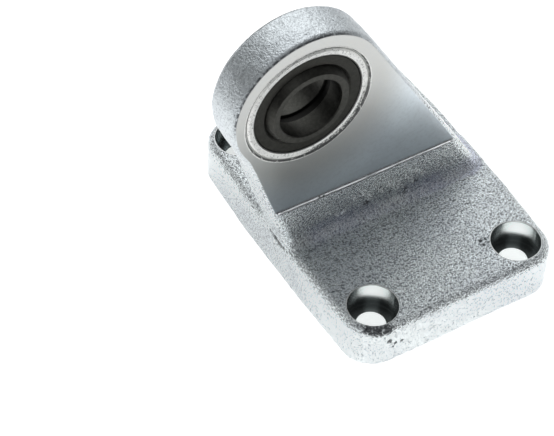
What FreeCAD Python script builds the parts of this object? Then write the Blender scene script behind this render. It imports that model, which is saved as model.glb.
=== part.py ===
import FreeCAD, Part
import math
import os

os.makedirs("parts", exist_ok=True)

# Right-angle bearing block for a cylinder's rear eye: a cast bracket with a flat base plate and an
# upright web, and a spherical plain bearing held in the web's eye.
# +Z is up from the mounting face. The origin is the centre of the four screw holes on that face.
# The bearing's axis runs along Y. The eye leans out over the plate's -X edge.

# Base plate
PLATE_LENGTH = 96.0
PLATE_WIDTH = 72.0
PLATE_SHIFT_X = 0.5
PLATE_HEIGHT = 15.0
PLATE_CORNER_RADIUS = 10.0
EYE_SIDE_DRAFT_DEG = 2.0
SLOPE_SIDE_DRAFT_DEG = 3.0
SIDE_BLEND_RADIUS = 120.0

# Screw holes
HOLE_SPACING_X = 50.0
HOLE_SPACING_Y = 76.0
SCREW_HOLE_DIAMETER = 9.0
COUNTERBORE_DIAMETER = 15.0
SCREW_SEAT_THICKNESS = 6.5
HOLE_EDGE_BREAK = 0.15

# Bearing axis
AXIS_HEIGHT = 71.0
AXIS_OFFSET_X = -30.0

# Web and eye, as cast
EYE_WALL = 7.0
EYE_RISE = 1.0
EYE_SHIFT_X = 0.25
LEAN_FLANK_INSET = 1.3
LEAN_FLANK_FOOT_RADIUS = 5.0
LEAN_FLANK_EYE_RADIUS = 20.0
SLOPE_FLANK_DEG = 58.7
CAST_ALLOWANCE = 0.65
FOOT_RADIUS = 4.0
EDGE_RADIUS = 3.0

# Machined faces of the web
RING_RECESS = 0.5
MACHINED_FROM_HEIGHT = 31.3

# Bearing, outer ring
OUTER_RING_WALL = 3.0
OUTER_RING_WIDTH = 12.0
OUTER_RING_CHAMFER = 0.6
RACE_EDGE_CHAMFER = 0.8
OUTER_GROOVE_WIDTH = 3.0
OUTER_GROOVE_DEPTH = 0.8

# Bearing, inner ring
BORE_DIAMETER = 20.0
INNER_RING_WALL = 4.5
INNER_RING_WIDTH = 16.0
BORE_CHAMFER = 0.3
BORE_GROOVE_WIDTH = 3.0
BORE_GROOVE_DEPTH = 0.8
BALL_CLEARANCE = 0.05
GREASE_HOLE_DIAMETER = 2.5
GREASE_HOLE_ANGLE_DEG = 28.0

# Staked lip that holds the outer ring in the eye
LIP_OVERLAP = 0.3
LIP_WIDTH = 1.5
LIP_FALL = 0.35
STAKE_GROOVE_WIDTH = 1.3
STAKE_GROOVE_BOTTOM = 0.7
STAKE_GROOVE_DEPTH = 0.9

V = FreeCAD.Vector
BALL_DIAMETER = BORE_DIAMETER + 2 * INNER_RING_WALL
RING_OUTER_DIAMETER = BALL_DIAMETER + 2 * OUTER_RING_WALL
LIP_TOP_RADIUS = RING_OUTER_DIAMETER / 2 + LIP_WIDTH
EYE_RADIUS = RING_OUTER_DIAMETER / 2 + EYE_WALL
WEB_WIDTH = OUTER_RING_WIDTH + 2 * RING_RECESS
WEB_CAST_WIDTH = WEB_WIDTH + 2 * CAST_ALLOWANCE
FOOT_HALF_WIDTH = WEB_CAST_WIDTH / 2 + FOOT_RADIUS
EYE_SIDE_X = PLATE_SHIFT_X - PLATE_WIDTH / 2
SLOPE_SIDE_X = PLATE_SHIFT_X + PLATE_WIDTH / 2
EYE_X = AXIS_OFFSET_X + EYE_SHIFT_X
EYE_HEIGHT = AXIS_HEIGHT + EYE_RISE
FAR = 2 * (PLATE_LENGTH + PLATE_WIDTH + AXIS_HEIGHT + EYE_RADIUS)


def arc_between(centre, radius, start_deg, end_deg, place):
    """Arc about centre, with its points put in space by place."""
    points = []
    for part in (0.0, 0.5, 1.0):
        angle = math.radians(start_deg + part * (end_deg - start_deg))
        u = centre[0] + radius * math.cos(angle)
        v = centre[1] + radius * math.sin(angle)
        points.append(place(u, v))
    return Part.Arc(*points).toShape()


def line_between(start, end, place):
    return Part.LineSegment(place(*start), place(*end)).toShape()


def flat(u, v):
    """A point of a plan outline, in the mounting plane."""
    return V(u, v, 0)


def upright(u, v):
    """A point of a side outline, in the plane of the bearing's centre."""
    return V(u, 0, v)


def rounded_outline(corners, place):
    """Closed wire through corners, each given as (u, v, radius)."""
    edges = []
    count = len(corners)
    ends = []
    for index in range(count):
        before = V(corners[index - 1][0], corners[index - 1][1], 0)
        corner = V(corners[index][0], corners[index][1], 0)
        after = V(corners[(index + 1) % count][0], corners[(index + 1) % count][1], 0)
        radius = corners[index][2]
        to_before = (before - corner).normalize()
        to_after = (after - corner).normalize()
        half = to_before.getAngle(to_after) / 2
        reach = radius / math.tan(half)
        middle = (to_before + to_after).normalize()
        centre = corner + middle * (radius / math.sin(half))
        nearest = centre - middle * radius
        ends.append((corner + to_before * reach, nearest, corner + to_after * reach))
    for index in range(count):
        first, nearest, last = [place(end.x, end.y) for end in ends[index]]
        edges.append(Part.Arc(first, nearest, last).toShape())
        following = ends[(index + 1) % count][0]
        edges.append(Part.LineSegment(last, place(following.x, following.y)).toShape())
    return Part.Wire(edges)


def plate_side(side_x, draft_deg):
    """The two corners and two bends of one long side of the plate, from -Y to +Y."""
    half_length = PLATE_LENGTH / 2
    outward = math.copysign(1, side_x)
    draft = math.radians(draft_deg)
    straight = FOOT_HALF_WIDTH + EDGE_RADIUS + SIDE_BLEND_RADIUS * math.tan(draft / 2)
    end_x = side_x - outward * (half_length - straight) * math.tan(draft)
    return [
        (end_x, -half_length, PLATE_CORNER_RADIUS),
        (side_x, -straight, SIDE_BLEND_RADIUS),
        (side_x, straight, SIDE_BLEND_RADIUS),
        (end_x, half_length, PLATE_CORNER_RADIUS),
    ]


def plan_outline():
    """The plate seen from above: straight beside the web, then drawn in towards both ends."""
    right = plate_side(SLOPE_SIDE_X, SLOPE_SIDE_DRAFT_DEG)
    left = plate_side(EYE_SIDE_X, EYE_SIDE_DRAFT_DEG)
    return rounded_outline(right + left[::-1], flat)


def plan_prism(height):
    return Part.Face(plan_outline()).extrude(V(0, 0, height))


def slope_flank_point(height):
    """The point of the sloping flank at a height, in the side view."""
    normal = math.radians(90 - SLOPE_FLANK_DEG)
    touch_x = EYE_X + EYE_RADIUS * math.cos(normal)
    touch_z = EYE_HEIGHT + EYE_RADIUS * math.sin(normal)
    return touch_x + (touch_z - height) / math.tan(math.radians(SLOPE_FLANK_DEG)), height


def web_outline():
    """The web seen along the bearing's axis: plate side, leaning flank, eye, sloping flank."""
    foot_centre = (EYE_SIDE_X - LEAN_FLANK_FOOT_RADIUS, PLATE_HEIGHT)
    foot_to_eye = (EYE_X - foot_centre[0], EYE_HEIGHT - foot_centre[1])
    eye_aside = EYE_RADIUS - LEAN_FLANK_INSET
    opening = math.acos((eye_aside + LEAN_FLANK_FOOT_RADIUS) / math.hypot(*foot_to_eye))
    lean = math.atan2(foot_to_eye[1], foot_to_eye[0]) - opening
    lean_deg = math.degrees(lean)
    flank_start_x = foot_centre[0] + LEAN_FLANK_FOOT_RADIUS * math.cos(lean)
    flank_start_z = foot_centre[1] + LEAN_FLANK_FOOT_RADIUS * math.sin(lean)
    eye_along = foot_to_eye[1] * math.cos(lean) - foot_to_eye[0] * math.sin(lean)
    centre_distance = EYE_RADIUS + LEAN_FLANK_EYE_RADIUS
    run = eye_along - math.sqrt(centre_distance ** 2 - (eye_aside + LEAN_FLANK_EYE_RADIUS) ** 2)
    flank_end_x = flank_start_x - run * math.sin(lean)
    flank_end_z = flank_start_z + run * math.cos(lean)
    blend_x = flank_end_x - LEAN_FLANK_EYE_RADIUS * math.cos(lean)
    blend_z = flank_end_z - LEAN_FLANK_EYE_RADIUS * math.sin(lean)
    to_eye_deg = math.degrees(math.atan2(EYE_HEIGHT - blend_z, EYE_X - blend_x))
    eye_start_deg = to_eye_deg + 180
    eye_end_deg = 90 - SLOPE_FLANK_DEG
    foot = slope_flank_point(0)
    eye_end = slope_flank_point(EYE_HEIGHT + EYE_RADIUS * math.sin(math.radians(eye_end_deg)))
    edges = [
        line_between((EYE_SIDE_X, 0), (EYE_SIDE_X, PLATE_HEIGHT), upright),
        arc_between(foot_centre, LEAN_FLANK_FOOT_RADIUS, 0, lean_deg, upright),
        line_between((flank_start_x, flank_start_z), (flank_end_x, flank_end_z), upright),
        arc_between((blend_x, blend_z), LEAN_FLANK_EYE_RADIUS, lean_deg, to_eye_deg, upright),
        arc_between((EYE_X, EYE_HEIGHT), EYE_RADIUS, eye_start_deg, eye_end_deg, upright),
        line_between(eye_end, foot, upright),
        line_between(foot, (EYE_SIDE_X, 0), upright),
    ]
    return Part.Wire(Part.__sortEdges__(edges))


def web_prism(half_width):
    face = Part.Face(web_outline())
    face.translate(V(0, -half_width, 0))
    return face.extrude(V(0, 2 * half_width, 0))


def tee_section():
    """Plate and web cut across, with the two concave radii at the web's foot."""
    half_length = FAR
    half_web = WEB_CAST_WIDTH / 2
    top = FAR

    def across(y, z):
        return V(0, y, z)

    foot_y = half_web + FOOT_RADIUS
    foot_z = PLATE_HEIGHT + FOOT_RADIUS
    edges = [
        line_between((-half_length, 0), (half_length, 0), across),
        line_between((half_length, 0), (half_length, PLATE_HEIGHT), across),
        line_between((half_length, PLATE_HEIGHT), (foot_y, PLATE_HEIGHT), across),
        arc_between((foot_y, foot_z), FOOT_RADIUS, 270, 180, across),
        line_between((half_web, foot_z), (half_web, top), across),
        line_between((half_web, top), (-half_web, top), across),
        line_between((-half_web, top), (-half_web, foot_z), across),
        arc_between((-foot_y, foot_z), FOOT_RADIUS, 0, -90, across),
        line_between((-foot_y, PLATE_HEIGHT), (-half_length, PLATE_HEIGHT), across),
        line_between((-half_length, PLATE_HEIGHT), (-half_length, 0), across),
    ]
    face = Part.Face(Part.Wire(edges))
    face.translate(V(-FAR, 0, 0))
    return face.extrude(V(2 * FAR, 0, 0))


def half_space(sign):
    """A block that holds everything on one side of the X = 0 plane."""
    block = Part.makeBox(FAR, 2 * FAR, 2 * FAR, V(0, -FAR, -FAR))
    if sign < 0:
        block.translate(V(-FAR, 0, 0))
    return block


def edges_where(shape, test):
    """Edges whose middle point passes a test."""
    found = []
    for edge in shape.Edges:
        middle = edge.valueAt((edge.FirstParameter + edge.LastParameter) / 2)
        if test(middle, edge):
            found.append(edge)
    return found


def is_plate_end_top(point, edge):
    at_end = abs(abs(point.y) - PLATE_LENGTH / 2) < 1e-6
    return at_end and abs(point.z - PLATE_HEIGHT) < 1e-6 and edge.Length > PLATE_CORNER_RADIUS


def eye_side():
    """The -X part of the casting, whose plate side and leaning flank are one surface."""
    envelope = plan_prism(PLATE_HEIGHT).fuse(web_prism(FOOT_HALF_WIDTH))
    body = tee_section().common(envelope).common(half_space(-1)).removeSplitter()
    return body.makeFillet(EDGE_RADIUS, edges_where(body, is_plate_end_top))


def slope_side():
    """The +X part of the casting, where the sloping flank runs out on top of the plate."""
    half_web = WEB_CAST_WIDTH / 2
    web = web_prism(half_web).common(half_space(1))

    def is_flank_edge(point, edge):
        line = slope_flank_point(point.z)
        return abs(point.x - line[0]) < 1e-6 and abs(abs(point.y) - half_web) < 1e-6

    web = web.makeFillet(EDGE_RADIUS, edges_where(web, is_flank_edge))
    reach = SLOPE_SIDE_X + PLATE_CORNER_RADIUS
    slab = Part.makeBox(reach, PLATE_LENGTH, PLATE_HEIGHT, V(0, -PLATE_LENGTH / 2, 0))
    above = Part.makeBox(FAR, FAR, FAR, V(0, -FAR / 2, PLATE_HEIGHT / 2))
    body = slab.fuse(web.common(above)).removeSplitter()

    def is_web_foot(point, edge):
        return abs(point.z - PLATE_HEIGHT) < 1e-6 and abs(abs(point.y) - half_web) < 1e-6

    body = body.makeFillet(FOOT_RADIUS, edges_where(body, is_web_foot))
    body = body.common(plan_prism(FAR)).removeSplitter()
    return body.makeFillet(EDGE_RADIUS, edges_where(body, is_plate_end_top))


def around_axis(points):
    """Ring turned about the bearing's axis from (radius, y) points."""
    corners = [V(AXIS_OFFSET_X + radius, y, AXIS_HEIGHT) for radius, y in points]
    face = Part.Face(Part.makePolygon(corners + corners[:1]))
    return face.revolve(V(AXIS_OFFSET_X, 0, AXIS_HEIGHT), V(0, 1, 0), 360)


def machined_web_cut():
    """Stock that the two face cuts take off the web, down to a narrow shoulder."""
    half = WEB_WIDTH / 2
    front = Part.makeBox(2 * FAR, FAR, FAR, V(-FAR, -half - FAR, MACHINED_FROM_HEIGHT))
    back = Part.makeBox(2 * FAR, FAR, FAR, V(-FAR, half, MACHINED_FROM_HEIGHT))
    return front.fuse(back)


def bearing_seat_cut():
    """Bore for the outer ring, narrowed at both mouths by the staked lips."""
    seat = RING_OUTER_DIAMETER / 2
    mouth = seat - LIP_OVERLAP
    face = WEB_WIDTH / 2
    ring_face = OUTER_RING_WIDTH / 2
    lip_inner = ring_face - OUTER_RING_CHAMFER
    half = [
        (0, face + LIP_FALL),
        (LIP_TOP_RADIUS + LIP_FALL, face + LIP_FALL),
        (LIP_TOP_RADIUS, face),
        (mouth, face - LIP_FALL),
        (mouth, ring_face),
        (seat, lip_inner),
    ]
    other_half = [(radius, -y) for radius, y in reversed(half)]
    return around_axis(half + other_half)


def staking_grooves_cut():
    """Ring grooves pressed beside the bore, one on each face of the web."""
    face = WEB_WIDTH / 2
    outer_radius = LIP_TOP_RADIUS + STAKE_GROOVE_WIDTH
    front = around_axis([
        (LIP_TOP_RADIUS, -face - STAKE_GROOVE_DEPTH),
        (LIP_TOP_RADIUS, -face),
        (LIP_TOP_RADIUS + STAKE_GROOVE_BOTTOM, -face + STAKE_GROOVE_DEPTH),
        (outer_radius, -face),
        (outer_radius, -face - STAKE_GROOVE_DEPTH),
    ])
    back = front.mirror(V(0, 0, 0), V(0, 1, 0))
    return front.fuse(back)


def screw_hole_cut(x, y):
    """Through hole with a flat-bottomed counterbore and a broken rim."""
    hole_radius = SCREW_HOLE_DIAMETER / 2
    bore_radius = COUNTERBORE_DIAMETER / 2
    over = PLATE_HEIGHT + COUNTERBORE_DIAMETER
    profile = [
        V(0, 0, -1),
        V(hole_radius, 0, -1),
        V(hole_radius, 0, SCREW_SEAT_THICKNESS),
        V(bore_radius, 0, SCREW_SEAT_THICKNESS),
        V(bore_radius, 0, PLATE_HEIGHT - HOLE_EDGE_BREAK),
        V(bore_radius + HOLE_EDGE_BREAK, 0, PLATE_HEIGHT),
        V(bore_radius + HOLE_EDGE_BREAK, 0, over),
        V(0, 0, over),
    ]
    face = Part.Face(Part.makePolygon(profile + profile[:1]))
    cut = face.revolve(V(0, 0, 0), V(0, 0, 1), 360)
    cut.translate(V(x, y, 0))
    return cut


def bracket():
    """Cast bracket, machined on both faces of the web and drilled for its screws."""
    body = eye_side().fuse(slope_side()).removeSplitter()
    body = body.cut(machined_web_cut())
    body = body.cut(bearing_seat_cut())
    body = body.cut(staking_grooves_cut())
    for x in (-HOLE_SPACING_X / 2, HOLE_SPACING_X / 2):
        for y in (-HOLE_SPACING_Y / 2, HOLE_SPACING_Y / 2):
            body = body.cut(screw_hole_cut(x, y))
    return body


def axis_ball(radius):
    return Part.makeSphere(radius, V(AXIS_OFFSET_X, 0, AXIS_HEIGHT), V(0, 1, 0))


def grease_holes(inner_radius, outer_radius):
    """Two opposite radial holes through a ring wall."""
    angle = math.radians(GREASE_HOLE_ANGLE_DEG)
    along = V(math.cos(angle), 0, math.sin(angle))
    centre = V(AXIS_OFFSET_X, 0, AXIS_HEIGHT)
    hole = Part.makeCylinder(GREASE_HOLE_DIAMETER / 2, 2 * outer_radius, centre - along * outer_radius, along)
    core_start = V(AXIS_OFFSET_X, -INNER_RING_WIDTH / 2, AXIS_HEIGHT)
    return hole.cut(Part.makeCylinder(inner_radius, INNER_RING_WIDTH, core_start, V(0, 1, 0)))


def outer_ring():
    """Outer ring with a spherical race, a grease groove round its outside and two holes."""
    radius = RING_OUTER_DIAMETER / 2
    half = OUTER_RING_WIDTH / 2
    race = BALL_DIAMETER / 2 + BALL_CLEARANCE
    race_edge = math.sqrt(race ** 2 - half ** 2) + RACE_EDGE_CHAMFER
    chamfer_y = half - RACE_EDGE_CHAMFER / 2
    groove = OUTER_GROOVE_WIDTH / 2
    upper = [
        (radius - OUTER_GROOVE_DEPTH, groove - OUTER_GROOVE_DEPTH / 2),
        (radius, groove),
        (radius, half - OUTER_RING_CHAMFER),
        (radius - OUTER_RING_CHAMFER, half),
        (race_edge, half),
        (math.sqrt(race ** 2 - chamfer_y ** 2), chamfer_y),
        (BORE_DIAMETER / 2, chamfer_y),
    ]
    lower = [(r, -y) for r, y in reversed(upper)]
    ring = around_axis(upper + lower).cut(axis_ball(race))
    return ring.cut(grease_holes(BORE_DIAMETER / 2, radius))


def inner_ring():
    """Ball ring: a sphere cut off at both faces, with a grooved bore for the pin."""
    bore = BORE_DIAMETER / 2
    half = INNER_RING_WIDTH / 2
    ball = BALL_DIAMETER / 2
    groove = BORE_GROOVE_WIDTH / 2
    upper = [
        (bore + BORE_GROOVE_DEPTH, groove - BORE_GROOVE_DEPTH / 2),
        (bore, groove),
        (bore, half - BORE_CHAMFER),
        (bore + BORE_CHAMFER, half),
        (ball, half),
    ]
    lower = [(r, -y) for r, y in reversed(upper)]
    ring = around_axis(upper + lower).common(axis_ball(ball))
    return ring.cut(grease_holes(bore, ball))


def main():
    nodes = {
        "bracket": bracket(),
        "outer_ring": outer_ring(),
        "inner_ring": inner_ring(),
    }
    for name, shape in nodes.items():
        shape.exportStep("parts/" + name + ".step")
        box = shape.BoundBox
        print(name, len(shape.Solids), round(shape.Volume, 1), shape.isValid(), len(shape.Faces), [
            round(value, 2) for value in (box.XMin, box.XMax, box.YMin, box.YMax, box.ZMin, box.ZMax)
        ])


main()
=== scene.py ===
import math

import bmesh
import bpy
import numpy
from mathutils import Matrix, Vector, noise


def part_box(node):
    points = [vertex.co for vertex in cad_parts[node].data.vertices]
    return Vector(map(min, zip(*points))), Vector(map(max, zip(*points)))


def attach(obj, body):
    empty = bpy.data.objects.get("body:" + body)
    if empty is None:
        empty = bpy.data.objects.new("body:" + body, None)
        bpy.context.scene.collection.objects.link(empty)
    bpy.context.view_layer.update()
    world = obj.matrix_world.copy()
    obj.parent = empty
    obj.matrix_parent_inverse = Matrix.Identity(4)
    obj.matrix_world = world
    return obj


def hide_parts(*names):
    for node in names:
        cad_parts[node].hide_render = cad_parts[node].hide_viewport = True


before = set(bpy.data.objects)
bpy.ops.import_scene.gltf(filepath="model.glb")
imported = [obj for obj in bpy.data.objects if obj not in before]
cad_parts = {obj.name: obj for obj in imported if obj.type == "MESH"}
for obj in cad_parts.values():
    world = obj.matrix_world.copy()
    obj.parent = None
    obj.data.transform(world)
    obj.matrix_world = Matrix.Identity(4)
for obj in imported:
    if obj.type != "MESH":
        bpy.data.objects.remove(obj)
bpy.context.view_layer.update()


def rgb(red, green, blue):
    return (red, green, blue, 1.0)


# The block's measures, in millimetres: heights above its base, and distances from the middle of its
# web (faces) or from the axis of its eye (radii).
MM = 0.001
LEAST_LENGTH = 1e-12
PLATE_TOP = 15.0
HOLE_CENTRES = [(x, y) for x in (-25.0, 25.0) for y in (-38.0, 38.0)]
HEAD_RECESS_RADIUS = 7.5
EYE_AXIS = (-30.0, 71.0)
WEB_FACE = 6.5
CAST_FACE = 7.15
LEDGE_HEIGHT = 31.3
EDGE_ROUND = 3.0
STAKE_GROOVE_RADIUS = 20.3
GROOVE_INNER_RADIUS = 18.15
RING_SEAT_RADIUS = 17.5
BORE_RADIUS = 10.0
BORE_GROOVE_HALF = 1.5
EDGE_BREAK = 0.15

# Tolerances for knowing a face of the CAD mesh: two distances, the least cosine of its direction,
# and the width of a hole's broken rim.
AT_FACE = 0.005
NEAR_FACE = 0.01
FACING = 0.99
HOLE_RIM = 0.16

# The cast skin is cut into cells, finer round the small marks, so that its points can move.
CAST_CELL = 1.0
CELL_SNAP = 0.2
LEDGE_SNAP = 0.02
WELD_DISTANCE = 0.0005
FLAT_ANGLE_DEG = 0.02
FINE_EDGE = 0.45
FINE_CUTS = 3
PIT_MARGIN = 0.9
LUMP_MARGIN = 0.8
LUMP_CENTRE_FACE = CAST_FACE + 0.4

# Waves of the skin: lumps per millimetre, amount and octaves. Only the points above the percentile
# stay at the solid's own surface, and the others lie below it.
CAST_WAVES = [(0.035, 0.16, 2), (0.16, 0.10, 2), (0.55, 0.055, 2)]
WAVE_HARDNESS = 0.6
WAVE_STEP = 2.0
FULL_HEIGHT_PERCENTILE = 97

# The eye's rim is drafted and less rounded than the solid's even rounding, from above the ledge up.
RIM_ROUND = 1.8
RIM_DRAFT_DEG = 3.0
RIM_ROUND_CENTRE = 4.957
RIM_START = 0.5
RIM_RUN_IN = 3.0

# The skin leans inwards over the last part below the ledge, and fades in round the screw holes.
LEDGE_LEAN = 0.16
LEDGE_LEAN_HEIGHT = 0.45
LEDGE_REACH = 0.6
LEDGE_OUTSIDE = 0.3
SKIN_FACING = 0.9
HOLE_SKIN_FADE = 0.8
HOLE_SKIN_REACH = 1.0
HOLE_SKIN_DEPTH = 0.2

# Pits of the skin: x, y, z, radius, depth. Each one's real radius varies with its place.
PIT_SPREAD = 1.7
PIT_LEAST = 0.75
PIT_VARIATION = 0.5
PIT_PLACE_WEIGHTS = (7.3, 3.1)
PITS = [
    (16.1, -32.8, 15.0, 0.45, 0.50), (17.6, -32.7, 15.0, 0.40, 0.45), (17.7, -34.1, 15.0, 0.50, 0.50),
    (16.0, -34.5, 15.0, 0.45, 0.45), (15.2, -34.1, 15.0, 0.35, 0.40), (16.6, -35.4, 15.0, 0.35, 0.40),
    (21.0, -18.8, 15.0, 0.35, 0.35), (-31.3, -43.9, 14.4, 0.50, 0.50), (-30.6, -45.5, 14.3, 0.60, 0.50),
    (-29.5, -46.8, 14.1, 0.60, 0.55), (-27.6, -47.5, 14.0, 0.55, 0.50), (-25.8, -47.7, 14.0, 0.50, 0.45),
    (-28.6, -47.0, 14.3, 0.40, 0.40), (-27.0, -48.0, 11.6, 0.50, 0.40), (-25.1, -48.0, 9.1, 0.70, 0.40),
    (-22.9, -48.0, 7.2, 0.70, 0.40), (-20.8, -48.0, 6.9, 0.60, 0.35), (-23.8, -48.0, 5.9, 0.50, 0.35),
    (-35.5, 2.0, 13.7, 0.60, 0.45), (-35.5, 0.5, 13.3, 0.70, 0.50), (-35.5, -1.0, 12.9, 0.70, 0.50),
    (-35.5, -2.5, 12.7, 0.70, 0.50), (-35.5, -4.0, 12.6, 0.70, 0.50), (-35.5, -5.6, 12.8, 0.60, 0.45),
    (-35.5, -7.3, 13.1, 0.45, 0.40), (-35.5, 19.6, 14.5, 0.40, 0.35),
    (-35.5, 17.3, 14.6, 0.35, 0.30), (-35.5, 15.5, 14.4, 0.40, 0.35),
    (-24.6, -7.15, 31.1, 0.45, 0.25), (-23.3, -7.15, 30.6, 0.35, 0.20),
]

# Dark patches: x, y, z, radius, strength. Most deepen the painted shade of the pits and under the lumps.
DARK_PATCH_SPREAD = 1.5
DARK_PATCHES = [
    (-30.4, -44.6, 14.2, 1.9, 1.00), (-28.4, -46.4, 14.1, 2.1, 1.00), (-25.8, -47.2, 14.1, 1.8, 1.00),
    (-31.4, -42.4, 14.3, 1.3, 0.50), (-23.4, -47.4, 14.2, 1.2, 0.50),
    (-7.8, -8.4, 19.6, 1.9, 1.00), (5.6, -8.6, 18.4, 1.8, 1.00),
    (0.2, -8.2, 20.2, 1.4, 1.00), (9.6, -7.8, 20.0, 1.3, 1.00), (-35.3, -3.0, 12.7, 1.4, 0.60),
    (-35.3, 0.4, 13.3, 1.2, 0.60), (-14.6, -9.5, 17.0, 1.2, 0.45), (-26.9, -34.4, 10.0, 0.45, 0.9),
]

# Irregular lumps low on the web's front: x, z, radius, rise. Each is a bent oval, turned from the
# one before it, with a painted shadow under it and a painted highlight on it.
LUMPS = [
    (-9.5, 24.5, 1.3, 0.70), (-7.2, 21.8, 1.1, 0.80), (-5.0, 24.8, 1.1, 0.65), (-3.2, 22.6, 1.3, 0.90),
    (-0.6, 23.8, 1.2, 0.80), (2.0, 22.0, 1.5, 1.00), (4.4, 20.4, 1.0, 0.70), (6.2, 23.4, 1.2, 0.80),
    (8.6, 24.2, 1.0, 0.80), (7.8, 21.2, 0.9, 0.85), (-20.6, 21.8, 0.9, 0.60), (-18.4, 20.2, 0.8, 0.70),
    (-16.2, 19.6, 0.9, 0.60), (-12.4, 23.6, 0.8, 0.50), (11.0, 22.6, 0.8, 0.60),
]
LUMP_FRONT = WEB_FACE + 0.1
LUMP_TURN_DEG = 47.0
LUMP_LENGTHWAYS = 0.75
LUMP_CROSSWAYS = 1.45
LUMP_BEND = 0.35
LUMP_BEND_RATE = 2.0
LUMP_SPREAD = 1.05
LUMP_RISE = 1.6
LUMP_CORE = 0.3
LUMP_SHADOW_BELOW = 0.9
LUMP_SHADOW_FLATNESS = 1.2
LUMP_SHADOW_STRENGTH = 0.9
LUMP_SHADOW_OUTSIDE = 0.25

# Noises of the materials: lumps per millimetre, detail and roughness.
GRAIN_NOISE = (1.7, 2.0, 0.6)
FINE_NOISE = (3.6, 1.0, 0.5)
LUMP_NOISE = (0.28, 2.0, 0.5)
PATCH_NOISE = (0.055, 3.0, 0.6)
PORE_FIELD_NOISE = (0.16, 2.0, 0.5)
PORE_CELLS = 0.62
CUT_NOISE = (0.9, 3.0, 0.7)
CUT_STRETCH = (0.12, 1.0, 3.0)
SCRATCH_NOISE = (1.8, 3.0, 0.65)
RIDGE_NOISE = (0.55, 3.0, 0.65)
WORN_NOISE = (0.12, 3.0, 0.5)
MOTTLE_NOISE = (0.8, 4.0, 0.65)
BROKEN_NOISE = (1.1, 2.0, 0.5)
CAST_ROUGHNESS_NOISE = (0.5, 2.0, 0.5)
STEEL_MOTTLE_NOISE = (0.9, 4.0, 0.65)
CRYSTAL_NOISE = (6.0, 2.0, 0.5)
FLOOR_NOISE = (0.01, 2.0, 0.5)

# Heights of the bumps, in millimetres, and how far they grow or shrink in places. The staked lip
# is levelled: it shades as if it faced straight out.
GRAIN_BUMP = 0.50
BARREL_GRAIN_BUMP = 0.26
FOOT_GRAIN_GAIN = 0.3
RAISED_GRAIN_GAIN = -0.75
FINE_BUMP = 0.07
LUMP_BUMP = 0.30
PORE_BUMP = -0.12
CUT_BUMP = 0.0003
SCRATCH_BUMP = 0.13
STAKED_LEVELLING = 1.1
BEVEL_SAMPLES = 8
TURNING_PITCH = 0.22
TURNING_BUMP = 0.0012
CRYSTAL_BUMP = 0.012

# Every FADE has two limits: a mask is 0 at the first, 1 at the second and smooth between them.
# These set the machined faces apart from the cast skin.
LEDGE_STRIP_FOOT = LEDGE_HEIGHT - 0.45
WEB_OUTER_FADE = (WEB_FACE + 0.12, WEB_FACE + 0.05)
WEB_INNER_FADE = (WEB_FACE - 0.12, WEB_FACE - 0.05)
ABOVE_LEDGE_FADE = (LEDGE_HEIGHT - 0.15, LEDGE_HEIGHT + 0.05)
STRIP_LOW_FADE = (LEDGE_STRIP_FOOT - 0.05, LEDGE_STRIP_FOOT + 0.02)
STRIP_HIGH_FADE = (LEDGE_HEIGHT + 0.1, LEDGE_HEIGHT + 0.03)
STRIP_OUTER_FADE = (WEB_FACE + 0.2, WEB_FACE + 0.3)
SEAT_FADE = (STAKE_GROOVE_RADIUS + 0.3, STAKE_GROOVE_RADIUS + 0.1)
STAKED_FADE = (WEB_FACE - 0.65, WEB_FACE - 0.55)
HOLE_FADE = (HEAD_RECESS_RADIUS + 0.45, HEAD_RECESS_RADIUS + 0.25)
HOLE_TOP_FADE = (PLATE_TOP + 0.6, PLATE_TOP + 0.4)
BASE_FADE = (0.1, 0.02)

# The cast skin: its barrel, foot, pores, speckles of painted grain shadow, and the painted shade
# with a blue reflection in the valley before the web.
BARREL_FADE = (46.0, 62.0)
FOOT_SIDE_FADE = (9.5, 8.0)
FOOT_LOW_FADE = (16.5, 18.0)
FOOT_HIGH_FADE = (33.0, 31.5)
PORE_FADE = (0.22, 0.05)
PORE_FIELD_FADE = (0.52, 0.66)
PATCH_FADE = (0.35, 0.7)
SPECKLE_FADE = (0.50, 0.37)
SPECKLE_SHARE = 0.80
BARREL_SPECKLE_SHARE = 0.34
PLATE_SIDE_SPECKLE = (12.0, 14.6, 0.62, 1.0)
VALLEY_HIGH_FADE = (22.0, 17.0)
VALLEY_SIDE_FADE = (14.0, 9.0)
VALLEY_LOW_FADE = (14.8, 15.1)
VALLEY_LEFT_FADE = (-31.0, -24.0)
VALLEY_PATCH_FADE = (0.25, 0.6)

# The machined faces: greyer by the eye as a painted reflection, whiter at the ledge as a painted
# highlight, with wear, mottling and scored staking.
FROM_EYE_FADE = (22.0, 40.0)
LEDGE_HIGHLIGHT_FADE = (LEDGE_HEIGHT + 0.3, LEDGE_HEIGHT + 0.1)
WORN_FADE = (0.3, 0.7)
MOTTLE_FADE = (0.45, 0.65)
SCORE_FADE = (0.56, 0.64)

# Painted shade: deep in the holes, under the ledge, in pits, patches and under lumps, in the staking
# groove, on the rim's upper left, and in the gap round the bearing. Raised marks get a painted
# highlight.
HOLE_DEEP_FADE = (11.2, 7.6)
HOLE_FLOOR_FADE = (6.3, 6.45)
UNDER_LOW_FADE = (LEDGE_HEIGHT - 1.3, LEDGE_HEIGHT - 0.9)
UNDER_HIGH_FADE = (LEDGE_STRIP_FOOT + 0.02, LEDGE_STRIP_FOOT - 0.05)
UNDER_OUTER_FADE = (WEB_FACE + 0.4, WEB_FACE + 0.5)
RAISED_FADE = (-0.15, -0.60)
BROKEN_FADE = (0.36, 0.54)
PIT_CORE_FADE = (0.55, 0.85)
PAINTED_DARK_FADE = (0.10, 0.55)
GROOVE_SUNK_FADE = (WEB_FACE - 0.03, WEB_FACE - 0.15)
GROOVE_OUTER_FADE = (STAKE_GROOVE_RADIUS + 0.02, STAKE_GROOVE_RADIUS - 0.06)
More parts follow.
